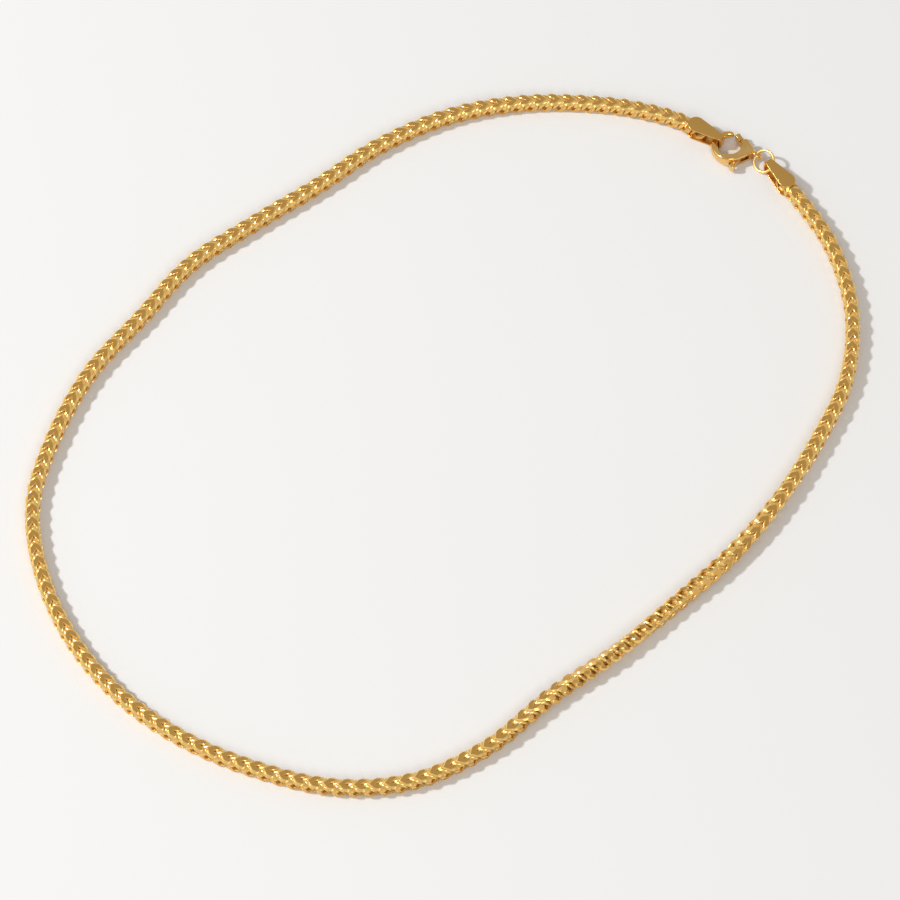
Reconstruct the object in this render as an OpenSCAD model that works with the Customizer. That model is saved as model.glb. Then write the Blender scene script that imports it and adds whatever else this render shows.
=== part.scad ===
// Franco chain necklace with end tabs, a jump ring and a lobster clasp.
// The necklace lies flat, closed in its loop, on the plane z = 0. Sizes are in millimetres.

/* [Chain] */
// Width of the square chain across its flats
chain_w = 3; // [2.6:0.1:3]
// Number of links along the whole chain
link_count = 158; // [140:1:158]
// Thickness of a link's wire across the chain
wire_thick = 0.48; // [0.42:0.02:0.48]
// Width of a link's wire along the flats
wire_wide = 0.96; // [0.6:0.02:0.96]
// Thickness of the strand inside a link, where two links cross
inner_wire = 0.34; // [0.3:0.02:0.34]
// Run along the chain in which it turns over, from its start at the right tab
turn_start = 70; // [60:1:76]
// Length over which the chain turns half round
turn_length = 96; // [92:1:110]

/* [End tabs] */
// Length of a folded end tab
tab_length = 8.4; // [8:0.1:9]
// Width of the tab's round end, over the last link
tab_wide = 3.6; // [3.4:0.1:3.7]
// Width of the tab's narrow folded end
tab_narrow = 1.5; // [1.3:0.1:1.6]
// Thickness of the tab's strip
strip = 0.4; // [0.3:0.05:0.4]

/* [Clasp] */
// Thickness of the clasp's body
clasp_thick = 3; // [2.8:0.1:3.1]
// Outer radius of the hook
hook_r = 4; // [3.9:0.05:4.05]
// Radius of the open eye inside the hook
eye_r = 2.45; // [2.4:0.05:2.5]
// Radius of the rivet that the lever turns on
rivet_r = 0.4; // [0.35:0.01:0.42]

/* [Jump ring] */
// Radius of the jump ring, to the centre of its wire
ring_r = 2.3; // [2.2:0.05:2.35]
// Radius of the jump ring's wire
ring_wire_r = 0.3; // [0.25:0.01:0.32]
// Tilt of the jump ring from the table
ring_tilt = 38; // [34:1:40]

/* [Hidden] */
gold = [0.86, 0.66, 0.27];
half_w = chain_w / 2;
// The last link's flats bite this far into the tab's strip, where it is soldered
seam = 0.05;
round_fn = 48;

// Where the clasp's eye is, and the direction from the eye to the clasp's tail
eye_at = [59.95, 70.1];
clasp_angle = -17.5;
tail_run = 6.05;
// Directions of the two end tabs, seen from above
left_tab_angle = -33;
right_tab_angle = -52;
// Distance from the eye's centre to the left tab's folded end
left_tab_gap = 1.75;
// Distance from the tail's centre to the right tab's folded end
right_tab_gap = 3.15;
// From a tab's folded end to the centre of its round end, where the last link is soldered
tab_run = tab_length - tab_wide / 2;
// The tabs rest on the table, so the chain's end lies this high
tab_z = half_w - seam + strip;
lift_run = 22;

function heading(a) = [cos(a), sin(a)];
tail_at = eye_at + tail_run * heading(clasp_angle);
left_end = eye_at - (left_tab_gap + tab_run) * heading(left_tab_angle);
right_end = tail_at + (right_tab_gap + tab_run) * heading(right_tab_angle);

// The chain's route from the right tab, round the front, to the left tab
route_knots = [
    right_end - 8 * heading(right_tab_angle), right_end,
    [80.5, 46], [84.5, 30], [83, 13.5], [76.5, -1.5], [68, -16], [58, -29], [46, -40.5],
    [34, -51.5], [21, -61.5], [8.5, -72.5], [-6, -80], [-22, -81.5], [-38, -77.5],
    [-53, -70.5], [-66, -60.5], [-76, -47.5], [-82.5, -32], [-84.5, -16], [-80.5, 0],
    [-73.5, 15], [-63.5, 28], [-53.5, 41], [-40.5, 51], [-27, 60.5], [-14, 70.5],
    [1, 78], [17, 81.2], [33, 80.8], [45, 78.2],
    left_end, left_end + 8 * heading(left_tab_angle)
];
span_count = len(route_knots) - 3;
span_steps = 10;

// A point on the smooth curve through four knots, at u from 0 to 1 between the middle two
function curve(a, b, c, d, u) =
    0.5 * (2 * b + (c - a) * u + (2 * a - 5 * b + 4 * c - d) * u * u
           + (3 * b - a - 3 * c + d) * u * u * u);
route = [for (k = [0:span_count * span_steps])
    let (i = min(floor(k / span_steps), span_count - 1), u = k / span_steps - i)
    curve(route_knots[i], route_knots[i + 1], route_knots[i + 2], route_knots[i + 3], u)];
step_lengths = [for (k = [1:len(route) - 1]) norm(route[k] - route[k - 1])];
function running(list, i, sum) =
    i == len(list) ? [sum] : concat([sum], running(list, i + 1, sum + list[i]));
runs = running(step_lengths, 0, 0);
chain_length = runs[len(runs) - 1];
pitch = chain_length / (link_count - 1);
x_of_run = [for (k = [0:len(route) - 1]) [runs[k], route[k][0]]];
y_of_run = [for (k = [0:len(route) - 1]) [runs[k], route[k][1]]];
function on_route(s) = [lookup(s, x_of_run), lookup(s, y_of_run)];

function ease(u) = let (v = min(max(u, 0), 1)) v * v * (3 - 2 * v);
// An even rate with soft ends
function even(u) = 0.3 * ease(u) + 0.7 * min(max(u, 0), 1);
// The chain's turn about its own line: half round at the right tab, none after the turn
function turn(s) = 180 * (1 - even((s - turn_start) / turn_length));
// Height of the chain's centre: it rests on its lowest corner, and rises to the tabs
corner_r = 0.35;
function rest_z(a) = corner_r + (half_w - corner_r) * (abs(cos(a)) + abs(sin(a)));
function end_lift(s) = (tab_z - half_w) * (1 - ease((min(s, chain_length - s) - tab_wide) / lift_run));
function centre_z(s) = rest_z(turn(s)) + end_lift(s);

// Rows of one half of a link's wire, from the upper chevron's tip to the lower one's.
// Columns: run in pitches, side, up, the wire's outer side (run, side, up), thickness, width
inset = wire_thick / 2 * cos(36);
corner_wide = 0.48;
corner = half_w - corner_r;
corner_run = 0.62;
hook_run = 0.51;
hook_side = 0.275;
hook_up = 0.7 * half_w;
tip_run = 0.15;
link_rows = [
    [tip_run, 0, half_w - inset, 0, 0, 1, wire_thick, wire_wide],
    [-corner_run, corner, corner, -0.3, 1, 1, wire_thick, corner_wide],
    [-hook_run, hook_side, -hook_up, -1, 0, 0, inner_wire, inner_wire],
    [hook_run, hook_side, hook_up, 1, 0, 0, inner_wire, inner_wire],
    [corner_run, corner, -corner, 0.3, 1, -1, wire_thick, corner_wide],
    [-tip_run, 0, inset - half_w, 0, 0, -1, wire_thick, wire_wide]
];
wire_sides = 5;
function mirrored(r) = [r[0], -r[1], r[2], r[3], -r[4], r[5], r[6], r[7]];
// The closed ring of sections: down one side and back up the other
ring_rows = concat(link_rows, [for (k = [4:-1:1]) mirrored(link_rows[k])]);
row_count = len(ring_rows);
function unit(v) = v / norm(v);
function row_centre(r) = [r[0] * pitch, r[1], r[2]];
function link_local() = [for (k = [0:row_count - 1])
    let (
        row = ring_rows[k],
        before = row_centre(ring_rows[(k + row_count - 1) % row_count]),
        after = row_centre(ring_rows[(k + 1) % row_count]),
        along = unit(after - before),
        raw = [row[3], row[4], row[5]],
        outer = unit(raw - (raw * along) * along),
        across = cross(along, outer)
    )
    for (j = [0:wire_sides - 1])
        let (a = (j + 0.5) * 360 / wire_sides)
        row_centre(row) + row[6] / 2 * cos(a) * outer + row[7] / 2 * sin(a) * across];
link_points = link_local();
// The second side's faces are split the other way, so that the two sides are mirror images
link_faces = [for (k = [0:row_count - 1]) for (j = [0:wire_sides - 1])
    let (
        k2 = (k + 1) % row_count,
        j2 = (j + 1) % wire_sides,
        a = k * wire_sides + j,
        b = k * wire_sides + j2,
        c = k2 * wire_sides + j2,
        d = k2 * wire_sides + j
    )
    for (f = k < row_count / 2 ? [[a, c, b], [a, d, c]] : [[a, d, b], [b, d, c]]) f];

// One link at its place in the chain
module link(i) {
    s = i * pitch;
    ahead = unit(on_route(s + 0.6) - on_route(s - 0.6));
    along = [ahead[0], ahead[1], 0];
    left = [-ahead[1], ahead[0], 0];
    a = turn(s);
    up = [0, 0, 1];
    side = cos(a) * left + sin(a) * up;
    top = cos(a) * up - sin(a) * left;
    xy = on_route(s);
    at = [xy[0], xy[1], centre_z(s)];
    points = [for (p = link_points) at + p[0] * along + p[1] * side + p[2] * top];
    polyhedron(points = points, faces = link_faces);
}

half_count = floor(link_count / 2);
module chain_right() {
    color(gold)
        for (i = [1:half_count - 1])
            link(i);
}
module chain_left() {
    color(gold)
        for (i = [half_count:link_count - 2])
            link(i);
}

// A strip folded into a long U on its side, from its fold at x = 0 to the chain
module folded_strip() {
    outer_h = 2 * (half_w - seam + strip);
    inner_h = outer_h - 2 * strip;
    bend = 0.8;
    width = tab_wide + 1;
    translate([0, width / 2, 0])
        rotate([90, 0, 0])
            linear_extrude(height = width)
                difference() {
                    union() {
                        translate([bend, 0])
                            square([tab_length, outer_h]);
                        translate([0, bend])
                            square([tab_length, outer_h - 2 * bend]);
                        for (y = [bend, outer_h - bend])
                            translate([bend, y])
                                circle(r = bend, $fn = round_fn);
                    }
                    translate([strip + bend / 2, strip])
                        square([tab_length + 2, inner_h]);
                    translate([strip, strip + bend / 2])
                        square([tab_length + 2, inner_h - bend]);
                    for (y = [strip + bend / 2, strip + inner_h - bend / 2])
                        translate([strip + bend / 2, y])
                            circle(r = bend / 2, $fn = round_fn);
                }
}
// The tab's outline from above: narrow at the fold, round at the chain
module tab_outline() {
    r = tab_wide / 2;
    lean = asin((r - tab_narrow / 2) / tab_run);
    polygon([
        [-0.1, -tab_narrow / 2],
        [tab_run - r * sin(lean), -r * cos(lean)],
        [tab_run - r * sin(lean), r * cos(lean)],
        [-0.1, tab_narrow / 2]
    ]);
    translate([tab_run, 0])
        circle(r = r, $fn = 2 * round_fn);
}
module tab() {
    intersection() {
        folded_strip();
        translate([0, 0, -1])
            linear_extrude(height = 3 * chain_w)
                tab_outline();
    }
}
module end_tab_right() {
    at = tail_at + right_tab_gap * heading(right_tab_angle);
    color(gold) {
        translate([at[0], at[1], 0])
            rotate([0, 0, right_tab_angle])
                tab();
        link(0);
    }
}
module end_tab_left() {
    at = eye_at - left_tab_gap * heading(left_tab_angle);
    color(gold) {
        translate([at[0], at[1], 0])
            rotate([0, 0, left_tab_angle + 180])
                tab();
        link(link_count - 1);
    }
}

// The ring stands on the table, leans, and passes through the clasp's tail and the right tab
module jump_ring() {
    ring_z = ring_r * sin(ring_tilt) + ring_wire_r + 0.03;
    color(gold)
        translate([tail_at[0], tail_at[1], ring_z])
            rotate([0, 0, right_tab_angle])
                translate([ring_r, 0, 0])
                    rotate([ring_tilt, 0, 0])
                        rotate_extrude($fn = round_fn)
                            translate([ring_r, 0])
                                circle(r = ring_wire_r, $fn = 24);
}

// Clasp frame: the eye's centre is the origin, x runs to the hook's tip side, y to the back
hook_wall = hook_r - eye_r;
hook_low = 0.5;
hook_high = clasp_thick - 0.3;
tip_angle = 93;
hook_start = -104;
taper_r = 1;
taper_run = 4.3;
cheek = 0.85;
play = 0.1;
pivot = [-3.4, 0.55];
root_r = 1;
cheek_arc_r = 1.8;
gate_tip_angle = 103;
gate_wide = 1.2;
thumb_angle = -74;
thumb_run = 5.9;
thumb_wide = 0.9;
nib_r = 0.62;
nib_rise = 0.35;
tail_eye_r = 1.15;
tail_wire_r = 0.36;

module in_clasp() {
    translate([eye_at[0], eye_at[1], 0])
        rotate([0, 0, clasp_angle + 180])
            mirror([0, 1, 0])
                children();
}
module hook_arc() {
    h = hook_high - hook_low;
    rotate([0, 0, hook_start])
        rotate_extrude(angle = tip_angle - hook_start, $fn = 2 * round_fn)
            translate([eye_r, hook_low]) {
                translate([0, hook_wall / 2])
                    square([hook_wall, h - hook_wall]);
                for (y = [hook_wall / 2, h - hook_wall / 2])
                    translate([hook_wall / 2, y])
                        circle(r = hook_wall / 2, $fn = round_fn);
            }
}
module body_outline() {
    lean = acos((hook_r - taper_r) / taper_run);
    difference() {
        union() {
            intersection() {
                circle(r = hook_r, $fn = 2 * round_fn);
                translate([-hook_r - 0.5, -hook_r])
                    square([hook_r, 2 * hook_r]);
            }
            polygon([
                hook_r * [-cos(lean), sin(lean)],
                [-taper_run, 0] + taper_r * [-cos(lean), sin(lean)],
                [-taper_run, 0] + taper_r * [-cos(lean), -sin(lean)],
                hook_r * [-cos(lean), -sin(lean)]
            ]);
            translate([-taper_run, 0])
                circle(r = taper_r, $fn = round_fn);
        }
        circle(r = eye_r, $fn = 2 * round_fn);
        difference() {
            polygon([[0, 0], [0.6, 6], [-6, 6], [-5.2, 3]]);
            translate(pivot)
                circle(r = cheek_arc_r, $fn = 2 * round_fn);
        }
    }
}
module lever_slot() {
    slot_start = -4.6;
    slot_long = 3.8;
    translate([slot_start, -tail_run, cheek])
        cube([slot_long, 2 * tail_run, clasp_thick - 2 * cheek]);
}
// The tail's small eye, turned to face the jump ring's wire
module tail_eye() {
    translate([tail_at[0], tail_at[1], clasp_thick / 2])
        rotate([0, 0, right_tab_angle])
            rotate([ring_tilt - 90, 0, 0])
                rotate_extrude($fn = 2 * round_fn)
                    translate([tail_eye_r, 0])
                        circle(r = tail_wire_r, $fn = 24);
}
module clasp_body() {
    color(gold) {
        tail_eye();
        in_clasp()
            difference() {
                union() {
                    hook_arc();
                    linear_extrude(height = clasp_thick)
                        body_outline();
                }
                lever_slot();
                translate([pivot[0], pivot[1], -1])
                    cylinder(r = rivet_r, h = clasp_thick + 2, $fn = round_fn);
            }
    }
}

// An arm of the lever in plan: a bar with parallel sides from the pivot
module arm(angle, run, width) {
    rotate([0, 0, angle])
        translate([0, -width / 2])
            square([run, width]);
}
module clasp_lever() {
    low = cheek + play;
    high = clasp_thick - cheek - play;
    gate_tip = (eye_r + hook_wall / 2) * heading(gate_tip_angle);
    to_tip = gate_tip - pivot;
    gate_angle = atan2(to_tip[1], to_tip[0]);
    gate_run = norm(to_tip);
    color(gold)
        in_clasp()
            translate([pivot[0], pivot[1], 0])
                difference() {
                    union() {
                        translate([0, 0, low])
                            linear_extrude(height = high - low) {
                                circle(r = root_r, $fn = round_fn);
                                arm(gate_angle, gate_run, gate_wide);
                                arm(thumb_angle, thumb_run, thumb_wide);
                            }
                        translate([0, 0, hook_low + play])
                            linear_extrude(height = hook_high - hook_low - 2 * play)
                                intersection() {
                                    rotate([0, 0, gate_angle])
                                        translate([cheek_arc_r + play, -gate_wide / 2])
                                            square([gate_run - cheek_arc_r - play, gate_wide]);
                                    translate(-pivot)
                                        circle(r = hook_r, $fn = 2 * round_fn);
                                }
                        rotate([0, 0, thumb_angle])
                            translate([thumb_run - 0.5, 0, low - nib_rise])
                                cylinder(r = nib_r, h = high - low + 2 * nib_rise, $fn = round_fn);
                    }
                    translate([0, 0, -1])
                        cylinder(r = rivet_r + 0.05, h = clasp_thick + 2, $fn = round_fn);
                }
}
module lever_rivet() {
    color(gold)
        in_clasp()
            translate([pivot[0], pivot[1], 0.1])
                cylinder(r = rivet_r, h = clasp_thick - 0.2, $fn = round_fn);
}

chain_right();
chain_left();
end_tab_right();
end_tab_left();
jump_ring();
clasp_body();
clasp_lever();
lever_rivet();
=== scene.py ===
import math

import bmesh
import bpy
from bpy.props import FloatProperty, FloatVectorProperty, IntProperty, PointerProperty
from mathutils import Matrix, Vector


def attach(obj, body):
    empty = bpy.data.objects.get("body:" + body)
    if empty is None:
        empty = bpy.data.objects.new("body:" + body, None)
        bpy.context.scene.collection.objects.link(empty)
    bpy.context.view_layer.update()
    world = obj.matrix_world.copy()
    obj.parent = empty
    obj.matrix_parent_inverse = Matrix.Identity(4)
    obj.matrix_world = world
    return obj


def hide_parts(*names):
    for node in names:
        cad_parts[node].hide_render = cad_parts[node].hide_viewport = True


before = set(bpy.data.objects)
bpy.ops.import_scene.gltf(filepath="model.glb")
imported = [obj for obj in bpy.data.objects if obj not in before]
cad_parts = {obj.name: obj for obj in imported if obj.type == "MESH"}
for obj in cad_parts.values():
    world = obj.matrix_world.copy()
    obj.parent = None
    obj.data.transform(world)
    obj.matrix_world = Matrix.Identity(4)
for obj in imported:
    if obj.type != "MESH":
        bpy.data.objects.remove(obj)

bl_info = {
    "name": "Franco Chain Necklace",
    "version": (1, 0, 0),
    "blender": (4, 5, 0),
    "location": "3D View > Sidebar > Necklace",
    "description": "Makes a gold franco chain with end tabs, a jump ring and a lobster clasp",
    "category": "Object",
}

MM = 0.001
UP = Vector((0, 0, 1))

# Points closer than this, in metres, are one point
MERGE_DISTANCE = 1e-7
# Faces that meet at more than this share a sharp edge
SHARP_SHEET = math.radians(32)
SHARP_CAST = math.radians(50)
SHARP_LINK = math.radians(75)
# Angles round a quarter circle, for a rounded rim
QUARTER = [math.radians(a) for a in (0, 30, 60, 90)]

# The chain's route on the table, from the right end tab round the front to the left one
EYE_AT = Vector((59.95, 70.1, 0)) * MM
CLASP_ANGLE = math.radians(-17.5)
TAIL_RUN = 6.05 * MM
LEFT_TAB_ANGLE = math.radians(-33)
RIGHT_TAB_ANGLE = math.radians(-52)
LEFT_TAB_GAP = 1.75 * MM
RIGHT_TAB_GAP = 3.15 * MM
ROUTE_KNOTS_MM = [
    (80.5, 46), (84.5, 30), (83, 13.5), (76.5, -1.5), (68, -16), (58, -29), (46, -40.5),
    (34, -51.5), (21, -61.5), (8.5, -72.5), (-6, -80), (-22, -81.5), (-38, -77.5),
    (-53, -70.5), (-66, -60.5), (-76, -47.5), (-82.5, -32), (-84.5, -16), (-80.5, 0),
    (-73.5, 15), (-63.5, 28), (-53.5, 41), (-40.5, 51), (-27, 60.5), (-14, 70.5),
    (1, 78), (17, 81.2), (33, 80.8), (45, 78.2),
]
STEPS_A_KNOT = 10
# The route goes straight on past each end by this much
LEAD = 8 * MM
# A link faces along the line between two points of the route this far on either side
FACING_REACH = 0.6 * MM
# How much of the chain's turn goes at an even rate; the rest eases in and out
EVEN_SHARE = 0.7
# The last link's flats bite this far into the tab's strip, where it is soldered
SEAM = 0.05 * MM

# The clasp in its own frame: the eye is the origin, x to the hook's bend, y to the back.
# Its angles are in degrees
PIVOT = (-3.4 * MM, 0.55 * MM)
CHEEK_ARC = 1.8 * MM
BODY_END = 0.5 * MM
HOOK_START = -104
HOOK_TIP = 93
GATE_TIP = 103
THUMB_ANGLE = -74
THUMB_WIDE = 0.9 * MM
ARM_START = 0.7 * MM
ARM_CORNER = 0.3 * MM
NIB = 0.62 * MM
NIB_BACK = 0.5 * MM
NIB_RISE = 0.35 * MM
PLAY = 0.1 * MM
RIVET_HOLE = 0.45 * MM
LEVER_ROOT = 1 * MM
TAIL_EYE = 1.15 * MM
TAIL_WIRE = 0.36 * MM
# Rims of the body's two plates, on their outer faces and over the slot
PLATE_RIM = 0.35 * MM
SLOT_RIM = 0.06 * MM
# Rims of the lever's root, of the arm that carries the gate, and of its other parts
ROOT_RIM = 0.15 * MM
ARM_RIM = 0.1 * MM
GATE_RIM = 0.3 * MM
THUMB_RIM = 0.2 * MM
NIB_RIM = 0.25 * MM
# The gate's lower face, how far its upper one lies under the body's, and the arm's reach into it
GATE_LOW = 0.6 * MM
GATE_UNDER = 0.4 * MM
GATE_REACH = 0.3 * MM
# The post between the plates stands back from their edge and reaches into them by this much
POST_BACK = 0.05 * MM
POST_ARC = (251, 109)

# The hook's sections, in shares of its length: it is round from ROUND_BY on, slims from
# SLIM_FROM on by SLIM, and ends in a cap of TIP_SHARE
HOOK_STEPS = 44
HOOK_SIDES = 16
ROUND_BY = 0.3
SLIM_FROM = 0.6
SLIM = 0.25
TIP_SHARE = 0.08
SMALLEST_CAP = 0.02
# Powers of the section's curve where it is squarest and roundest, and what it loses in height
SQUAREST = 5
ROUNDEST = 2.4
HOOK_UNDER = 0.02 * MM
HOOK_LOSS = 0.4 * MM

# The divisor of a corner's mitre is at least this
LEAST_MITRE = 0.5
# A point moved inward is sound if it keeps this share of the inset from the outline
SOUND_SHARE = 0.97

# Sections along half of a tab's strip: up the web, round the bend, along the arm, round the end
WEB_STEPS = 3
BEND_STEPS = 6
ARM_STEPS = 8
END_STEPS = 14
# The strip's last section lies this far round from the very end
LAST_ANGLE = math.radians(2)
TAB_RIM = 0.11 * MM

# The first and last link of each half of the chain
LINKS_RIGHT = (1, 78)
LINKS_LEFT = (79, 156)

# A quarter of a link's wire, from the upper chevron's tip to the middle of its side.
# Columns: run in pitches, side and up in half widths, section's outer side (run, side, up),
# thickness and width in mm
QUARTER_LINK = [
    (0.12, 0.0, 0.82, (0, 0, 1), 0.84, 1.7),
    (-0.12, 0.42, 0.82, (0, 0.1, 1), 0.84, 1.5),
    (-0.36, 0.70, 0.745, (-0.1, 0.7, 1), 0.8, 1.5),
    (-0.54, 0.80, 0.38, (-0.2, 1, 0.2), 0.82, 1.4),
    (-0.72, 0.50, -0.06, (-1, 0.4, -0.6), 0.72, 1.0),
    (-0.60, 0.12, -0.68, (-0.3, 0, -1), 0.8, 1.1),
    (-0.14, 0.60, -0.62, (-0.2, 0.6, -1), 0.78, 1.0),
]
WIRE_SIDES = 6

# The light: colours, and where its two lamps hang
SKY_COLOUR = (1.0, 0.965, 0.92)
KEY_COLOUR = (0.95, 0.975, 1.0)
KEY_AT = (-1.15, 0.1, 1.15)
KEY_SIZE = 0.16
FILL_COLOUR = (1.0, 0.98, 0.955)
FILL_AT = (0.3, -1.3, 1.3)
FILL_SIZE = 0.8
FLOOR_REACH = 4.0


class ChainSizes(bpy.types.PropertyGroup):
    width: FloatProperty(name="Width", description="Width of the chain across its flats",
                         default=3 * MM, min=2 * MM, max=4 * MM, unit="LENGTH")
    links: IntProperty(name="Links", description="Links from the middle of one tab to the other",
                       default=158, min=100, max=200)
    turn_start: FloatProperty(name="Turn Start", description="Run at which the chain turns over",
                              default=70 * MM, unit="LENGTH")
    turn_length: FloatProperty(name="Turn Length", description="Run in which it turns half round",
                               default=96 * MM, unit="LENGTH")
    corner_radius: FloatProperty(name="Corner Radius", description="Radius of the chain's corners",
                                 default=0.35 * MM, unit="LENGTH")


class TabSizes(bpy.types.PropertyGroup):
    length: FloatProperty(name="Length", description="Length of a folded end tab",
                          default=8.4 * MM, unit="LENGTH")
    wide: FloatProperty(name="Wide End", description="Width of the round end over the last link",
                        default=3.6 * MM, unit="LENGTH")
    narrow: FloatProperty(name="Narrow End", description="Width of the strip at its fold",
                          default=1.5 * MM, unit="LENGTH")
    strip: FloatProperty(name="Strip", description="Thickness of the strip",
                         default=0.4 * MM, unit="LENGTH")
    bend: FloatProperty(name="Bend", description="Outer radius of the fold's two bends",
                        default=0.8 * MM, unit="LENGTH")
    lift_run: FloatProperty(name="Lift Run", description="Run in which the chain rises to a tab",
                            default=22 * MM, unit="LENGTH")


class RingSizes(bpy.types.PropertyGroup):
    radius: FloatProperty(name="Radius", description="Radius to the middle of the wire",
                          default=2.3 * MM, unit="LENGTH")
    wire: FloatProperty(name="Wire Radius", description="Radius of the ring's wire",
                        default=0.3 * MM, unit="LENGTH")
    tilt: FloatProperty(name="Tilt", description="Lean of the ring from the table",
                        default=math.radians(38), subtype="ANGLE")


class ClaspSizes(bpy.types.PropertyGroup):
    thickness: FloatProperty(name="Thickness", description="Thickness of the clasp's body",
                             default=3 * MM, unit="LENGTH")
    hook: FloatProperty(name="Hook Radius", description="Outer radius of the hook",
                        default=4 * MM, unit="LENGTH")
    eye: FloatProperty(name="Eye Radius", description="Radius of the open eye inside the hook",
                       default=2.45 * MM, unit="LENGTH")
    cheek: FloatProperty(name="Cheek", description="Thickness of a plate over or under the lever",
                         default=0.85 * MM, unit="LENGTH")
    tail: FloatProperty(name="Tail Radius", description="Radius of the body's narrow end",
                        default=1 * MM, unit="LENGTH")
    tail_run: FloatProperty(name="Tail Run", description="From the eye to the narrow end's centre",
                            default=4.3 * MM, unit="LENGTH")
    gate_wide: FloatProperty(name="Gate Width", description="Width of the lever's gate",
                             default=1.2 * MM, unit="LENGTH")
    thumb_run: FloatProperty(name="Thumb Run", description="From the rivet to the nib's outer end",
                             default=5.9 * MM, unit="LENGTH")


class GoldFinish(bpy.types.PropertyGroup):
    cast_colour: FloatVectorProperty(name="Cast Colour", description="Lighter colour of the clasp",
                                     default=(0.92, 0.605, 0.22), size=3, subtype="COLOR", min=0, max=1)
    # Painted light: the wire's gold is a lighter copy of the metal, lifting the shade in the links'
    # openings
    lit_wire_colour: FloatVectorProperty(name="Wire Colour", description="Colour of the links' wire",
                                     default=(0.98, 0.65, 0.21), size=3, subtype="COLOR", min=0, max=1)
    # Painted shade: the flats' and strip's gold is a darker copy of the same metal, for the dim sky
    # they reflect
    shaded_cut_colour: FloatVectorProperty(name="Cut Colour", description="Colour of the flats and the strip",
                                    default=(0.79, 0.46, 0.125), size=3, subtype="COLOR", min=0, max=1)
    roughness: FloatProperty(name="Roughness", description="Roughness of the links' wire",
                             default=0.26, min=0, max=1, subtype="FACTOR")
    cut_roughness: FloatProperty(name="Cut Roughness", description="Roughness of the cut flats",
                                 default=0.26, min=0, max=1, subtype="FACTOR")


class StageSettings(bpy.types.PropertyGroup):
    look_at: FloatVectorProperty(name="Look At", description="Point in the middle of the view",
                                 default=(0.849 * MM, -2.918 * MM, 0), size=3, unit="LENGTH")
    elevation: FloatProperty(name="Elevation", description="Height of the camera over the horizon",
                             default=math.radians(60), subtype="ANGLE")
    distance: FloatProperty(name="Distance", description="Distance of the camera",
                            default=1.33, unit="LENGTH")
    lens: FloatProperty(name="Lens", description="Focal length in millimetres",
                        default=258.25)
    floor_colour: FloatVectorProperty(name="Floor Colour", description="Colour of the floor",
                                      default=(0.835, 0.83, 0.825), size=3, subtype="COLOR",
                                      min=0, max=1)
    key_power: FloatProperty(name="Key Power", description="Power of the key light in watts",
                             default=17.8, min=0)
    fill_power: FloatProperty(name="Fill Power", description="Power of the broad front light in watts",
                              default=7.8, min=0)
    sky: FloatProperty(name="Sky", description="Strength of the light from all round",
                       default=0.47, min=0)


def heading(angle):
    return Vector((math.cos(angle), math.sin(angle), 0))


def clamp(u):
    return min(max(u, 0.0), 1.0)


def ease(u):
    u = clamp(u)
    return u * u * (3 - 2 * u)


class Route:
    """The chain's middle line: its points, its turn about itself and its height at a run."""

    def __init__(self, chain, tab):
        self.chain, self.tab = chain, tab
        self.half = chain.width / 2
        tab_run = tab.length - tab.wide / 2
        self.tail_at = EYE_AT + TAIL_RUN * heading(CLASP_ANGLE)
        self.right_fold = self.tail_at + RIGHT_TAB_GAP * heading(RIGHT_TAB_ANGLE)
        self.left_fold = EYE_AT - LEFT_TAB_GAP * heading(LEFT_TAB_ANGLE)
        right_end = self.right_fold + tab_run * heading(RIGHT_TAB_ANGLE)
        left_end = self.left_fold - tab_run * heading(LEFT_TAB_ANGLE)
        knots = [right_end - LEAD * heading(RIGHT_TAB_ANGLE), right_end]
        knots += [Vector((x, y, 0)) * MM for x, y in ROUTE_KNOTS_MM]
        knots += [left_end, left_end + LEAD * heading(LEFT_TAB_ANGLE)]
        self.points = [self.curve(knots, k / STEPS_A_KNOT)
                       for k in range((len(knots) - 3) * STEPS_A_KNOT + 1)]
        self.runs = [0.0]
        for a, b in zip(self.points, self.points[1:]):
            self.runs.append(self.runs[-1] + (b - a).length)
        self.length = self.runs[-1]
        self.pitch = self.length / (chain.links - 1)

    @staticmethod
    def curve(knots, t):
        """The point at t on a smooth curve, which passes knot k + 1 at t = k."""
        i = min(int(t), len(knots) - 4)
        u = t - i
        a, b, c, d = knots[i:i + 4]
        return 0.5 * (2 * b + (c - a) * u + (2 * a - 5 * b + 4 * c - d) * u * u
                      + (3 * b - a - 3 * c + d) * u ** 3)

    def at(self, s):
        """The point at a run along the route."""
        s = min(max(s, 0.0), self.length)
        k = 0
        while k < len(self.runs) - 2 and self.runs[k + 1] < s:
            k += 1
        u = (s - self.runs[k]) / (self.runs[k + 1] - self.runs[k])
        return self.points[k].lerp(self.points[k + 1], u)

    def turn(self, s):
        """The chain's turn about its own line at a run, in radians."""
        u = (s - self.chain.turn_start) / self.chain.turn_length
        return math.pi * (1 - (1 - EVEN_SHARE) * ease(u) - EVEN_SHARE * clamp(u))

    def height(self, s):
        """The height of the chain's middle: it rests on its lowest corner, and rises to the tabs."""
        a = self.turn(s)
        r = self.chain.corner_radius
        rest = r + (self.half - r) * (abs(math.cos(a)) + abs(math.sin(a)))
        near_end = min(s, self.length - s) - self.tab.wide
        return rest + (self.tab_height() - self.half) * (1 - ease(near_end / self.tab.lift_run))

    def tab_height(self):
        return self.half - SEAM + self.tab.strip

    def place(self, s):
        """The matrix of a link at run s: x along the chain, z its upper flat's normal."""
        along = (self.at(s + FACING_REACH) - self.at(s - FACING_REACH)).normalized()
        left = Vector((-along.y, along.x, 0))
        a = self.turn(s)
        side = math.cos(a) * left + math.sin(a) * UP
        top = math.cos(a) * UP - math.sin(a) * left
        at = self.at(s) + self.height(s) * UP
        return Matrix.Translation(at) @ Matrix((along, side, top)).transposed().to_4x4()


def new_object(name, mesh):
    obj = bpy.data.objects.new(name, mesh)
    bpy.context.scene.collection.objects.link(obj)
    return obj


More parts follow.
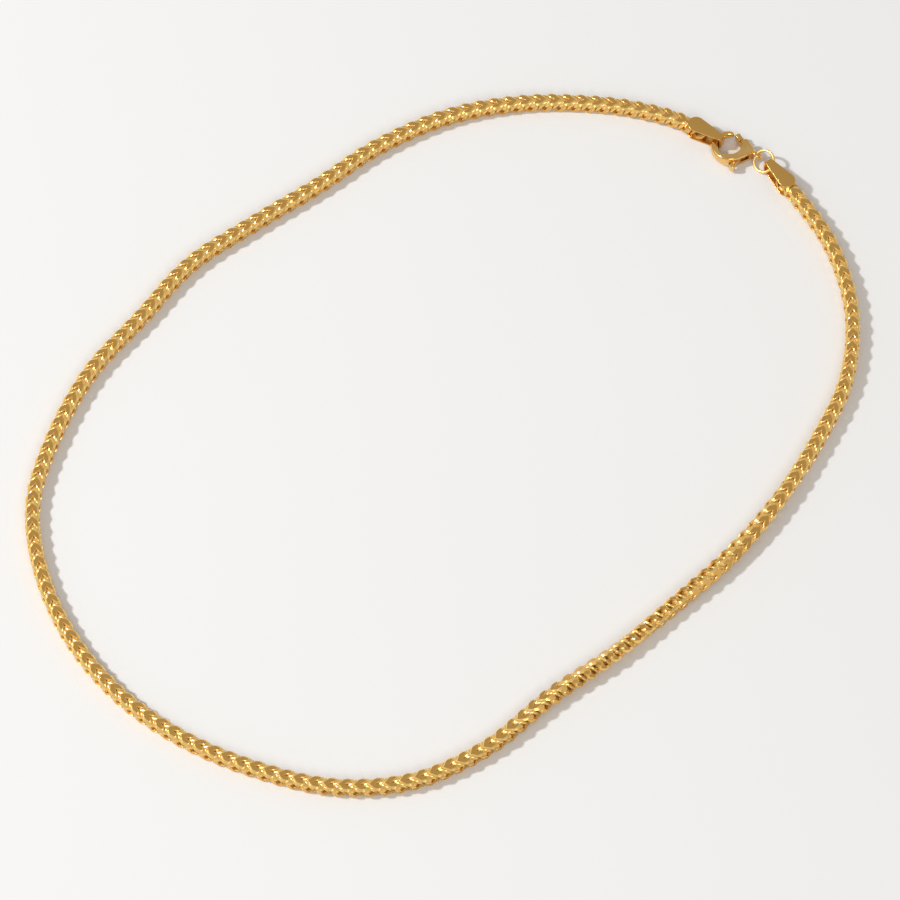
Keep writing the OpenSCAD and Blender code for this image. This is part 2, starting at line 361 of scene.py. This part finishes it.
def mesh_from(bm, name, sharp_angle=SHARP_SHEET):
    """A mesh with smooth faces and sharp edges where its faces meet at more than sharp_angle."""
    bmesh.ops.remove_doubles(bm, verts=bm.verts, dist=MERGE_DISTANCE)
    bmesh.ops.recalc_face_normals(bm, faces=bm.faces)
    for face in bm.faces:
        face.smooth = True
    for edge in bm.edges:
        if edge.calc_face_angle(0.0) > sharp_angle:
            edge.smooth = False
    mesh = bpy.data.meshes.new(name)
    bm.to_mesh(mesh)
    bm.free()
    return mesh


def tube(bm, rings, closed):
    """Skins rings of vertices, round again to the first if closed, or capped at both ends."""
    count = len(rings)
    rows = [[bm.verts.new(p) for p in ring] for ring in rings]
    for k in range(count if closed else count - 1):
        a, b = rows[k], rows[(k + 1) % count]
        for j in range(len(a)):
            j2 = (j + 1) % len(a)
            bm.faces.new((a[j], a[j2], b[j2], b[j]))
    if not closed:
        bm.faces.new(reversed(rows[0]))
        bm.faces.new(rows[-1])


def ellipse_ring(centre, along, outer, thick, wide, sides):
    """A section square to along, thick towards its outer side and wide across it."""
    outer = (outer - outer.dot(along) * along).normalized()
    across = along.cross(outer)
    ring = []
    for j in range(sides):
        a = (j + 0.5) * math.tau / sides
        ring.append(centre + thick / 2 * math.cos(a) * outer + wide / 2 * math.sin(a) * across)
    return ring


def link_rings(pitch, half):
    """The sections of one link's closed wire: down one side, and back up the other."""
    def row(r, end, flip):
        """A row as it is, or turned end for end about the side axis, or on the other side."""
        run, side, up, outer, thick, wide = r
        centre = Vector((end * run * pitch, flip * side * half, end * up * half))
        outer = Vector((end * outer[0], flip * outer[1], end * outer[2]))
        return centre, outer, thick * MM, wide * MM

    one_side = [(r, 1) for r in QUARTER_LINK] + [(r, -1) for r in reversed(QUARTER_LINK)]
    rows = [row(r, end, 1) for r, end in one_side]
    rows += [row(r, end, -1) for r, end in one_side[-2:0:-1]]
    count = len(rows)
    rings = []
    for k, (centre, outer, thick, wide) in enumerate(rows):
        along = (rows[(k + 1) % count][0] - rows[k - 1][0]).normalized()
        rings.append(ellipse_ring(centre, along, outer, thick, wide, WIRE_SIDES))
    return rings


def link_mesh(pitch, width):
    """One link with its flats cut: the attribute cut marks the flat faces."""
    half = width / 2
    bm = bmesh.new()
    tube(bm, link_rings(pitch, half), closed=True)
    cut = bm.faces.layers.int.new("cut")
    for normal in (Vector((0, 1, 0)), Vector((0, -1, 0)), UP, -UP):
        found = bmesh.ops.bisect_plane(bm, geom=bm.verts[:] + bm.edges[:] + bm.faces[:],
                                       plane_co=normal * half, plane_no=normal, clear_outer=True)
        rim = [e for e in found["geom_cut"] if isinstance(e, bmesh.types.BMEdge)]
        for face in bmesh.ops.holes_fill(bm, edges=rim, sides=0)["faces"]:
            face[cut] = 1
            for edge in face.edges:
                edge.smooth = False
    return mesh_from(bm, "link", SHARP_LINK)


def node_tree(name, tree_kind, inputs, outputs):
    """A node group whose sockets are pairs of a label and a kind, such as Float."""
    tree = bpy.data.node_groups.new(name, tree_kind)
    for way, sockets in (("INPUT", inputs), ("OUTPUT", outputs)):
        for label, kind in sockets:
            tree.interface.new_socket(label, in_out=way, socket_type="NodeSocket" + kind)
    return tree


def chain_tree():
    """Sets a link on each point of a resampled curve, turned with the curve's own tilt."""
    tree = node_tree("Links Along A Route", "GeometryNodeTree",
                     [("Route", "Geometry"), ("Links", "Int"), ("First", "Int"), ("Last", "Int"),
                      ("Link", "Object"), ("Polished", "Material"), ("Cut", "Material")],
                     [("Chain", "Geometry")])
    add, wire = tree.nodes.new, tree.links.new
    given, out = add("NodeGroupInput"), add("NodeGroupOutput")

    spaced = add("GeometryNodeResampleCurve")
    wire(given.outputs["Route"], spaced.inputs["Curve"])
    wire(given.outputs["Links"], spaced.inputs["Count"])

    index = add("GeometryNodeInputIndex")
    chosen = add("FunctionNodeBooleanMath")
    chosen.operation = "AND"
    # A compare node's whole numbers go into its sockets 2 and 3
    for k, (operation, limit) in enumerate((("GREATER_EQUAL", "First"), ("LESS_EQUAL", "Last"))):
        within = add("FunctionNodeCompare")
        within.data_type, within.operation = "INT", operation
        wire(index.outputs[0], within.inputs[2])
        wire(given.outputs[limit], within.inputs[3])
        wire(within.outputs[0], chosen.inputs[k])

    tangent, normal = add("GeometryNodeInputTangent"), add("GeometryNodeInputNormal")
    facing = add("FunctionNodeAxesToRotation")
    facing.primary_axis, facing.secondary_axis = "X", "Y"
    wire(tangent.outputs[0], facing.inputs[0])
    wire(normal.outputs[0], facing.inputs[1])

    shape = add("GeometryNodeObjectInfo")
    wire(given.outputs["Link"], shape.inputs["Object"])
    placed = add("GeometryNodeInstanceOnPoints")
    wire(spaced.outputs[0], placed.inputs["Points"])
    wire(chosen.outputs[0], placed.inputs["Selection"])
    wire(shape.outputs["Geometry"], placed.inputs["Instance"])
    wire(facing.outputs[0], placed.inputs["Rotation"])

    real = add("GeometryNodeRealizeInstances")
    wire(placed.outputs[0], real.inputs[0])
    polished, flats = add("GeometryNodeSetMaterial"), add("GeometryNodeSetMaterial")
    is_cut = add("GeometryNodeInputNamedAttribute")
    is_cut.data_type = "INT"
    is_cut.inputs["Name"].default_value = "cut"
    wire(real.outputs[0], polished.inputs["Geometry"])
    wire(given.outputs["Polished"], polished.inputs["Material"])
    wire(polished.outputs[0], flats.inputs["Geometry"])
    wire(is_cut.outputs[0], flats.inputs["Selection"])
    wire(given.outputs["Cut"], flats.inputs["Material"])
    wire(flats.outputs[0], out.inputs[0])
    return tree


def route_curve(route, name):
    """The route as a poly curve whose tilt carries the chain's turn about itself.

    Blender's own normal points to the right of the curve, so half a turn is added.
    """
    data = bpy.data.curves.new(name, "CURVE")
    data.dimensions = "3D"
    data.twist_mode = "Z_UP"
    spline = data.splines.new("POLY")
    spline.points.add(len(route.points) - 1)
    for point, at, s in zip(spline.points, route.points, route.runs):
        point.co = (*(at + route.height(s) * UP), 1)
        point.tilt = route.turn(s) + math.pi
    return new_object(name, data)


def run_nodes(source, tree, values, name):
    """Runs a node tree on an object and returns its result as a plain mesh piece."""
    modifier = source.modifiers.new(name, "NODES")
    modifier.node_group = tree
    for item in tree.interface.items_tree:
        if item.in_out == "INPUT" and item.name in values:
            modifier[item.identifier] = values[item.name]
    depsgraph = bpy.context.evaluated_depsgraph_get()
    mesh = bpy.data.meshes.new_from_object(source.evaluated_get(depsgraph), depsgraph=depsgraph)
    source.modifiers.remove(modifier)
    mesh.name = name
    if not mesh.polygons:
        raise RuntimeError(f"{name} came out empty")
    return new_object(name, mesh)


def tab_rings(tab, half):
    """Sections of a strip folded to a U, cut to its outline, from one round end to the other.

    A point of the flat strip lies u along it from the fold's middle, v across it and h out.
    """
    r, t, bend = tab.wide / 2, tab.strip, tab.bend
    run = tab.length - r
    lean = math.asin((r - tab.narrow / 2) / run)
    height = 2 * (half - SEAM + t)
    mid = bend - t / 2
    straight = height / 2 - bend
    bend_run = mid * math.pi / 2
    tangent_x = run - r * math.sin(lean)

    def half_width(x):
        if x < tangent_x:
            return tab.narrow / 2 + (r * math.cos(lean) - tab.narrow / 2) * x / tangent_x
        return math.sqrt(max(r * r - (x - run) ** 2, 0))

    def fold(u, h):
        """The x and z of a flat point once the strip is folded."""
        sign, u = (1 if u >= 0 else -1), abs(u)
        if u < straight:
            x, z = t / 2 - h, u
        elif u < straight + bend_run:
            a = (u - straight) / mid
            x, z = bend - (mid + h) * math.cos(a), straight + (mid + h) * math.sin(a)
        else:
            x, z = bend + u - straight - bend_run, height / 2 - t / 2 + h
        return x, height / 2 + sign * z

    def outward(u, x):
        """The outline's normal, along the strip and across it."""
        if abs(u) < straight + bend_run:
            return 0.0, 1.0
        along, across = -math.sin(lean), math.cos(lean)
        if x > tangent_x:
            along, across = (x - run) / r, half_width(x) / r
        return (along if u >= 0 else -along), across

    def on_arm(x):
        return x - bend + straight + bend_run

    around = math.pi / 2 + lean
    end_angles = [around * (1 - k / END_STEPS) for k in range(1, END_STEPS)] + [LAST_ANGLE]
    stations = [straight * k / WEB_STEPS for k in range(WEB_STEPS)]
    stations += [straight + bend_run * k / BEND_STEPS for k in range(BEND_STEPS + 1)]
    stations += [on_arm(bend + (tangent_x - bend) * k / ARM_STEPS) for k in range(1, ARM_STEPS + 1)]
    stations += [on_arm(run + r * math.cos(a)) for a in end_angles]

    rings = []
    for u in [-u for u in reversed(stations[1:])] + stations:
        x = fold(abs(u), 0)[0]
        out_u, out_v = outward(u, x)
        ring = []
        for v_sign, h_sign in ((1, -1), (1, 1), (-1, 1), (-1, -1)):
            for a in QUARTER if v_sign == h_sign else QUARTER[::-1]:
                back = TAB_RIM * (1 - math.cos(a))
                v = v_sign * max(half_width(x) - back * out_v, 0.0)
                px, pz = fold(u - back * out_u, h_sign * (t / 2 - TAB_RIM + TAB_RIM * math.sin(a)))
                ring.append(Vector((px, v, pz)))
        rings.append(ring)
    return rings


def rings_at(rings, place):
    """Rings of points moved by a matrix."""
    return [[place @ p for p in ring] for ring in rings]


def tab_mesh(route, tab, at, angle, link_run, name):
    """A tab's folded strip and the link in it, which lies at a run of the route."""
    bm = bmesh.new()
    place = Matrix.Translation(at) @ Matrix.Rotation(angle, 4, "Z")
    tube(bm, rings_at(tab_rings(tab, route.half), place), closed=False)
    link = link_mesh(route.pitch, route.chain.width)
    link.transform(route.place(link_run))
    bm.from_mesh(link)
    bpy.data.meshes.remove(link)
    return mesh_from(bm, name)


def torus_rings(radius, wire, steps, sides):
    """Sections round a ring of wire that lies flat with its middle at the origin."""
    rings = []
    for k in range(steps):
        out = heading(math.tau * k / steps)
        along = Vector((-out.y, out.x, 0))
        rings.append(ellipse_ring(out * radius, along, out, 2 * wire, 2 * wire, sides))
    return rings


def arc(centre, radius, start, end, steps):
    """Points in plan from one angle to another, in degrees."""
    angles = [math.radians(start + (end - start) * k / steps) for k in range(steps + 1)]
    return [Vector(centre) + radius * heading(a).xy for a in angles]


def circle(centre, radius, count):
    """Points round a whole circle in plan, clockwise."""
    return arc(centre, radius, 360, 360 / count, count - 1)


def edge_distance(point, outline):
    """How far a point lies from the nearest side of a closed outline."""
    nearest = math.inf
    for k, end in enumerate(outline):
        start = outline[k - 1]
        side = end - start
        share = min(max((point - start).dot(side) / side.length_squared, 0), 1)
        nearest = min(nearest, (point - start - side * share).length)
    return nearest


def inset_outline(outline, inset):
    """A clockwise outline moved inward; points that would pass a sharp corner gather in it."""
    count = len(outline)
    moved = []
    for k, point in enumerate(outline):
        before = (point - outline[k - 1]).normalized()
        after = (outline[(k + 1) % count] - point).normalized()
        first, second = [Vector((d.y, -d.x)) for d in (before, after)]
        moved.append(point + inset * (first + second) / max(1 + first.dot(second), LEAST_MITRE))
    sound = [k for k, point in enumerate(moved)
             if edge_distance(point, outline) >= SOUND_SHARE * inset]
    gathered = []
    for k in range(count):
        nearest = min(sound, key=lambda s: min((s - k) % count, (k - s) % count))
        gathered.append(moved[nearest])
    return gathered


def rounded_plate(bm, outline, low, high, low_round, high_round):
    """A plate of a clockwise outline, its lower and upper rims rounded."""
    levels = [(low_round * (1 - math.sin(a)), low + low_round * (1 - math.cos(a))) for a in QUARTER]
    levels += [(high_round * (1 - math.sin(a)), high - high_round * (1 - math.cos(a)))
               for a in reversed(QUARTER)]
    rings = [[Vector((*p, z)) for p in inset_outline(outline, inset)] for inset, z in levels]
    tube(bm, rings, closed=False)


def body_outline(clasp):
    """The clasp's flat body in plan, clockwise: its front, its tail, the cheek, the eye."""
    lean = math.degrees(math.acos((clasp.hook - clasp.tail) / clasp.tail_run))
    outer_end = -90 - math.degrees(math.asin(BODY_END / clasp.hook))
    eye_end = 270 - math.degrees(math.asin(BODY_END / clasp.eye))
    front = arc((0, 0), clasp.hook, outer_end, lean - 180, steps=10)
    tail = arc((-clasp.tail_run, 0), clasp.tail, 180 + lean, 180 - lean, steps=12)
    edge = Vector((-math.cos(math.radians(lean)), math.sin(math.radians(lean))))
    cheek = [p for p in arc(PIVOT, CHEEK_ARC, 110, 0, steps=36)
             if p.dot(edge) < clasp.hook and p.length > clasp.eye]
    past_cheek = 2
    eye_start = math.degrees(math.atan2(cheek[-1].y, cheek[-1].x)) + past_cheek
    eye = arc((0, 0), clasp.eye, eye_start, eye_end, steps=28)
    return front + tail + cheek + eye


def hook_rings(clasp):
    """Sections of the hook: square where it leaves the body, round along it, narrow at its tip."""
    middle, wall = (clasp.hook + clasp.eye) / 2, clasp.hook - clasp.eye
    rings = []
    for k in range(HOOK_STEPS + 1):
        u = k / HOOK_STEPS
        out = heading(math.radians(HOOK_START + (HOOK_TIP - HOOK_START) * u))
        rounding = ease(u / ROUND_BY)
        near_tip = max(0.0, 1 - (1 - u) / TIP_SHARE)
        size = 1 - SLIM * ease((u - SLIM_FROM) / (1 - SLIM_FROM))
        size *= math.sqrt(max(1 - near_tip ** 2, SMALLEST_CAP))
        wide = wall / 2 * size
        tall = (clasp.thickness / 2 - HOOK_UNDER - HOOK_LOSS * rounding) * size
        power = 2 / (SQUAREST - (SQUAREST - ROUNDEST) * rounding)
        ring = []
        for j in range(HOOK_SIDES):
            a = (j + 0.5) * math.tau / HOOK_SIDES
            x, z = [math.copysign(abs(c) ** power, c) for c in (math.cos(a), math.sin(a))]
            ring.append(out * (middle + wide * x) + (clasp.thickness / 2 + tall * z) * UP)
        rings.append(ring)
    return rings


def bar_outline(start, end, width, angle):
    """A bar with a rounded far end in plan, clockwise, from the rivet outwards."""
    half, near = width / 2, end - ARM_CORNER
    points = [Vector((start, -half)), Vector((start, half))]
    points += arc((near, half - ARM_CORNER), ARM_CORNER, 90, 0, steps=4)
    points += arc((near, ARM_CORNER - half), ARM_CORNER, 0, -90, steps=4)
    turn = Matrix.Rotation(math.radians(angle), 2)
    return [Vector(PIVOT) + turn @ p for p in points]


def disc_rings(centre, inner, outer, low, high, rim):
    """Sections round a disc with a hole, its outer rims rounded."""
    part = 0.3 * rim
    profile = [(inner, low), (inner, high), (outer - rim, high), (outer - part, high - part),
               (outer, high - rim), (outer, low + rim), (outer - part, low + part), (outer - rim, low)]
    steps = 32
    rings = []
    for k in range(steps):
        out = heading(math.tau * k / steps)
        rings.append([Vector((*centre, 0)) + out * r + z * UP for r, z in profile])
    return rings


def place_clasp(bm):
    """Clasp frame: the eye is the origin, x to the hook, y to the back, which mirrors it."""
    place = (Matrix.Translation(EYE_AT) @ Matrix.Rotation(CLASP_ANGLE + math.pi, 4, "Z")
             @ Matrix.Scale(-1, 4, Vector((0, 1, 0))))
    bmesh.ops.transform(bm, matrix=place, verts=bm.verts)


def clasp_body_mesh(clasp, route, tilt):
    """Two plates with the lever's slot between them, the post at their narrow end, the hook and
    the tail's small eye, which is turned to face the jump ring's wire."""
    bm = bmesh.new()
    outline = body_outline(clasp)
    high = clasp.thickness
    rounded_plate(bm, outline, 0, clasp.cheek, PLATE_RIM, SLOT_RIM)
    rounded_plate(bm, outline, high - clasp.cheek, high, SLOT_RIM, PLATE_RIM)
    post = arc((-clasp.tail_run, 0), clasp.tail - POST_BACK, *POST_ARC, steps=10)
    rounded_plate(bm, post, clasp.cheek - POST_BACK, high - clasp.cheek + POST_BACK, 0, 0)
    tube(bm, hook_rings(clasp), closed=False)
    place_clasp(bm)
    place = (Matrix.Translation(route.tail_at + high / 2 * UP)
             @ Matrix.Rotation(RIGHT_TAB_ANGLE, 4, "Z")
             @ Matrix.Rotation(tilt - math.pi / 2, 4, "X"))
    tube(bm, rings_at(torus_rings(TAIL_EYE, TAIL_WIRE, steps=48, sides=14), place), closed=True)
    return mesh_from(bm, "clasp_body_cast", SHARP_CAST)


def clasp_lever_mesh(clasp):
    """The lever's root round the rivet, the gate on its arm, and the thumb bar with its nib."""
    low, high = clasp.cheek + PLAY, clasp.thickness - clasp.cheek - PLAY
    middle = (clasp.hook + clasp.eye) / 2
    tip = middle * heading(math.radians(GATE_TIP)).xy - Vector(PIVOT)
    gate_angle = math.degrees(math.atan2(tip.y, tip.x))
    arm = bar_outline(ARM_START, CHEEK_ARC + GATE_REACH, clasp.gate_wide, gate_angle)
    gate = bar_outline(CHEEK_ARC + PLAY, tip.length, clasp.gate_wide, gate_angle)
    thumb = bar_outline(ARM_START, clasp.thumb_run, THUMB_WIDE, THUMB_ANGLE)
    nib_at = Vector(PIVOT) + (clasp.thumb_run - NIB_BACK) * heading(math.radians(THUMB_ANGLE)).xy
    bm = bmesh.new()
    tube(bm, disc_rings(PIVOT, RIVET_HOLE, LEVER_ROOT, low, high, ROOT_RIM), closed=True)
    for outline, bottom, top, rim in (
            (arm, low, high, ARM_RIM),
            (gate, GATE_LOW, clasp.thickness - GATE_UNDER, GATE_RIM),
            (thumb, low, high, THUMB_RIM),
            (circle(nib_at, NIB, 24), low - NIB_RISE, high + NIB_RISE, NIB_RIM)):
        rounded_plate(bm, outline, bottom, top, rim, rim)
    place_clasp(bm)
    return mesh_from(bm, "clasp_lever_cast", SHARP_CAST)


def set_inputs(node, **values):
    """Sets a node's inputs: From_Min=0.3 sets From Min."""
    for label, value in values.items():
        node.inputs[label.replace("_", " ")].default_value = value


def handling_wear():
    """Fine marks of handling: tone over the piece, roughness and height from noise."""
    tree = node_tree("Handling Wear", "ShaderNodeTree",
                     [("Patch Scale", "Float"), ("Mark Scale", "Float"), ("Light", "Color"),
                      ("Deep", "Color"), ("Least Roughness", "Float"), ("Most Roughness", "Float")],
                     [("Color", "Color"), ("Roughness", "Float"), ("Height", "Float")])
    add, wire = tree.nodes.new, tree.links.new
    given, out = add("NodeGroupInput"), add("NodeGroupOutput")
    place = add("ShaderNodeTexCoord")
    patches, marks = add("ShaderNodeTexNoise"), add("ShaderNodeTexNoise")
    set_inputs(patches, Detail=2.0)
    set_inputs(marks, Detail=3.0)
    for noise, scale in ((patches, "Patch Scale"), (marks, "Mark Scale")):
        wire(place.outputs["Object"], noise.inputs["Vector"])
        wire(given.outputs[scale], noise.inputs["Scale"])
    tone = add("ShaderNodeMapRange")
    set_inputs(tone, From_Min=0.35, From_Max=0.7)
    wire(patches.outputs["Fac"], tone.inputs["Value"])
    colour = add("ShaderNodeMix")
    colour.data_type = "RGBA"
    wire(tone.outputs[0], colour.inputs["Factor"])
    wire(given.outputs["Light"], colour.inputs["A"])
    wire(given.outputs["Deep"], colour.inputs["B"])
    rough = add("ShaderNodeMapRange")
    set_inputs(rough, From_Min=0.3, From_Max=0.7)
    wire(marks.outputs["Fac"], rough.inputs["Value"])
    wire(given.outputs["Least Roughness"], rough.inputs["To Min"])
    wire(given.outputs["Most Roughness"], rough.inputs["To Max"])
    wire(colour.outputs["Result"], out.inputs["Color"])
    wire(rough.outputs[0], out.inputs["Roughness"])
    wire(marks.outputs["Fac"], out.inputs["Height"])
    return tree


def new_material(name):
    made = bpy.data.materials.new(name)
    made.use_nodes = True
    nodes = made.node_tree.nodes
    return made, nodes["Principled BSDF"], nodes.new, made.node_tree.links.new


def gold(name, wear, colours, roughness, bump, metallic, scales=(400.0, 2600.0)):
    """A gold with two colours, a range of roughness, and the scales of its patches and marks."""
    made, shader, add, wire = new_material(name)
    set_inputs(shader, Metallic=metallic)
    marks = add("ShaderNodeGroup")
    marks.node_tree = wear
    set_inputs(marks, Light=(*colours[0], 1), Deep=(*colours[1], 1),
               Least_Roughness=roughness[0], Most_Roughness=roughness[1],
               Patch_Scale=scales[0], Mark_Scale=scales[1])
    relief = add("ShaderNodeBump")
    set_inputs(relief, Strength=bump, Distance=0.02 * MM)
    wire(marks.outputs["Color"], shader.inputs["Base Color"])
    wire(marks.outputs["Roughness"], shader.inputs["Roughness"])
    wire(marks.outputs["Height"], relief.inputs["Height"])
    wire(relief.outputs["Normal"], shader.inputs["Normal"])


def make_golds(finish):
    """The links' wire and the ring, the links' flats, the tabs' strip, and the clasp.

    The wire takes a lit copy of the gold, lightened as painted light against the shade in the
    links' openings. The flats and the strip take a shaded copy, darkened as painted shade for the
    dim sky they reflect. The clasp's tone drifts at random towards that shaded copy.
    """
    wear = handling_wear()
    # wire holds the lit copy of the gold (painted light), flat the shaded copy (painted shade)
    wire, flat, cast = tuple(finish.lit_wire_colour), tuple(finish.shaded_cut_colour), tuple(finish.cast_colour)
    rough, cut = finish.roughness, finish.cut_roughness
    gold("polished_gold", wear, (wire, wire), (rough * 0.8, rough * 1.2), bump=0.0, metallic=0.65)
    gold("diamond_cut_gold", wear, (flat, flat), (cut * 0.85, cut * 1.2), bump=0.05, metallic=0.95)
    gold("rolled_gold_strip", wear, (flat, flat), (0.2, 0.26), bump=0.08, metallic=0.95,
         scales=(250.0, 1800.0))
    gold("cast_gold", wear, (cast, flat), (0.1, 0.16), bump=0.05, metallic=0.95,
         scales=(300.0, 1500.0))


def material(name):
    """A gold by its name; the first call makes all four."""
    if name not in bpy.data.materials:
        make_golds(bpy.context.scene.gold_finish)
    return bpy.data.materials[name]


def dress(piece, material_name, body, *nodes):
    """Gives a piece a material if it has none, its body and the nodes it replaces."""
    if not piece.data.materials:
        piece.data.materials.append(material(material_name))
    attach(piece, body)
    if nodes:
        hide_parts(*nodes)


def route_now():
    scene = bpy.context.scene
    return Route(scene.chain_sizes, scene.tab_sizes)


class NECKLACE_OT_chain(bpy.types.Operator):
    """Make both halves of the franco chain"""
    bl_idname = "necklace.chain"
    bl_label = "Franco Chain"

    def execute(self, context):
        route = route_now()
        tree = chain_tree()
        path = route_curve(route, "chain_route")
        link = new_object("one_link", link_mesh(route.pitch, route.chain.width))
        for node, (first, last) in (("chain_right", LINKS_RIGHT), ("chain_left", LINKS_LEFT)):
            values = {"Links": route.chain.links, "First": first, "Last": last, "Link": link,
                      "Polished": material("polished_gold"), "Cut": material("diamond_cut_gold")}
            piece = run_nodes(path, tree, values, node + "_links")
            dress(piece, "polished_gold", "necklace", node)
        for source in (path, link):
            bpy.data.objects.remove(source)
        return {"FINISHED"}


class NECKLACE_OT_end_tabs(bpy.types.Operator):
    """Make the two folded end tabs with the chain's last links in them"""
    bl_idname = "necklace.end_tabs"
    bl_label = "End Tabs"

    def execute(self, context):
        route = route_now()
        tab = context.scene.tab_sizes
        for name, at, angle, run in (
                ("end_tab_right", route.right_fold, RIGHT_TAB_ANGLE, 0.0),
                ("end_tab_left", route.left_fold, LEFT_TAB_ANGLE + math.pi, route.length)):
            piece = new_object(name + "_strip", tab_mesh(route, tab, at, angle, run, name))
            dress(piece, "rolled_gold_strip", "necklace", name)
        return {"FINISHED"}


class NECKLACE_OT_jump_ring(bpy.types.Operator):
    """Make the jump ring"""
    bl_idname = "necklace.jump_ring"
    bl_label = "Jump Ring"

    def execute(self, context):
        ring = context.scene.ring_sizes
        route = route_now()
        off_table = 0.03 * MM
        height = ring.radius * math.sin(ring.tilt) + ring.wire + off_table
        place = (Matrix.Translation(route.tail_at + height * UP)
                 @ Matrix.Rotation(RIGHT_TAB_ANGLE, 4, "Z")
                 @ Matrix.Translation((ring.radius, 0, 0))
                 @ Matrix.Rotation(ring.tilt, 4, "X"))
        bm = bmesh.new()
        tube(bm, rings_at(torus_rings(ring.radius, ring.wire, steps=72, sides=16), place), closed=True)
        piece = new_object("jump_ring_wire", mesh_from(bm, "jump_ring_wire"))
        dress(piece, "polished_gold", "necklace", "jump_ring")
        return {"FINISHED"}


class NECKLACE_OT_clasp(bpy.types.Operator):
    """Make the lobster clasp and its lever"""
    bl_idname = "necklace.clasp"
    bl_label = "Lobster Clasp"

    def execute(self, context):
        scene = context.scene
        clasp = scene.clasp_sizes
        body = new_object("clasp_body_cast", clasp_body_mesh(clasp, route_now(), scene.ring_sizes.tilt))
        dress(body, "cast_gold", "necklace", "clasp_body")
        lever = new_object("clasp_lever_cast", clasp_lever_mesh(clasp))
        dress(lever, "cast_gold", "clasp_lever", "clasp_lever")
        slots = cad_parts["lever_rivet"].data.materials
        for k in range(len(slots)):
            slots[k] = material("cast_gold")
        return {"FINISHED"}


def floor_material(colour):
    """A pale matt floor whose tone drifts a little."""
    made, shader, add, wire = new_material("pale_floor")
    set_inputs(shader, Roughness=0.75)
    place, grain = add("ShaderNodeTexCoord"), add("ShaderNodeTexNoise")
    set_inputs(grain, Scale=9.0)
    shade = add("ShaderNodeMix")
    shade.data_type = "RGBA"
    darker = [0.985 * c for c in colour]
    set_inputs(shade, A=(*colour, 1), B=(*darker, 1))
    wire(place.outputs["Object"], grain.inputs["Vector"])
    wire(grain.outputs["Fac"], shade.inputs["Factor"])
    wire(shade.outputs["Result"], shader.inputs["Base Color"])
    return made


def aim(obj, at, direction):
    """Sets a lamp or camera at a point, facing along a direction."""
    obj.location = at
    obj.rotation_euler = direction.to_track_quat("-Z", "Y").to_euler()


def area_light(name, power, size, at, colour):
    """A round lamp that faces the middle of the scene."""
    light = bpy.data.lights.new(name, "AREA")
    light.shape = "DISK"
    light.energy, light.size, light.color = power, size, colour
    aim(new_object(name, light), at, -Vector(at))


class NECKLACE_OT_stage(bpy.types.Operator):
    """Set the floor, the soft studio light and the camera"""
    bl_idname = "necklace.stage"
    bl_label = "Stage"

    def execute(self, context):
        stage = context.scene.stage_settings
        bm = bmesh.new()
        bmesh.ops.create_grid(bm, x_segments=1, y_segments=1, size=FLOOR_REACH)
        floor = new_object("floor", mesh_from(bm, "floor"))
        floor.data.materials.append(floor_material(tuple(stage.floor_colour)))

        world = bpy.data.worlds.new("soft_sky")
        world.use_nodes = True
        set_inputs(world.node_tree.nodes["Background"], Color=(*SKY_COLOUR, 1), Strength=stage.sky)
        context.scene.world = world
        area_light("key", stage.key_power, KEY_SIZE, KEY_AT, KEY_COLOUR)
        area_light("fill", stage.fill_power, FILL_SIZE, FILL_AT, FILL_COLOUR)

        back = Vector((0, -math.cos(stage.elevation), math.sin(stage.elevation)))
        data = bpy.data.cameras.new("camera")
        data.lens, data.sensor_width = stage.lens, 36
        data.clip_start, data.clip_end = 0.01, 50
        camera = new_object("camera", data)
        aim(camera, Vector(stage.look_at) + stage.distance * back, -back)
        context.scene.camera = camera
        context.scene.view_settings.view_transform = "Standard"
        return {"FINISHED"}


class NECKLACE_PT_panel(bpy.types.Panel):
    bl_label = "Necklace"
    bl_idname = "NECKLACE_PT_panel"
    bl_space_type = "VIEW_3D"
    bl_region_type = "UI"
    bl_category = "Necklace"

    def draw(self, context):
        for operator in OPERATORS:
            self.layout.operator(operator.bl_idname)
        for group in SETTINGS:
            settings = getattr(context.scene, group)
            box = self.layout.box()
            for name in settings.bl_rna.properties.keys():
                if name not in ("rna_type", "name"):
                    box.prop(settings, name)


SETTINGS = {
    "chain_sizes": ChainSizes,
    "tab_sizes": TabSizes,
    "ring_sizes": RingSizes,
    "clasp_sizes": ClaspSizes,
    "gold_finish": GoldFinish,
    "stage_settings": StageSettings,
}
OPERATORS = (NECKLACE_OT_chain, NECKLACE_OT_end_tabs, NECKLACE_OT_jump_ring, NECKLACE_OT_clasp,
             NECKLACE_OT_stage)


def register():
    for cls in (*SETTINGS.values(), *OPERATORS, NECKLACE_PT_panel):
        bpy.utils.register_class(cls)
    for name, cls in SETTINGS.items():
        setattr(bpy.types.Scene, name, PointerProperty(type=cls))


def unregister():
    for name in SETTINGS:
        delattr(bpy.types.Scene, name)
    for cls in (NECKLACE_PT_panel, *reversed(OPERATORS), *reversed(tuple(SETTINGS.values()))):
        bpy.utils.unregister_class(cls)


def main():
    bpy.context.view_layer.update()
    register()
    bpy.ops.necklace.stage()
    bpy.ops.necklace.chain()
    bpy.ops.necklace.end_tabs()
    bpy.ops.necklace.jump_ring()
    bpy.ops.necklace.clasp()


if __name__ == "__main__":
    main()
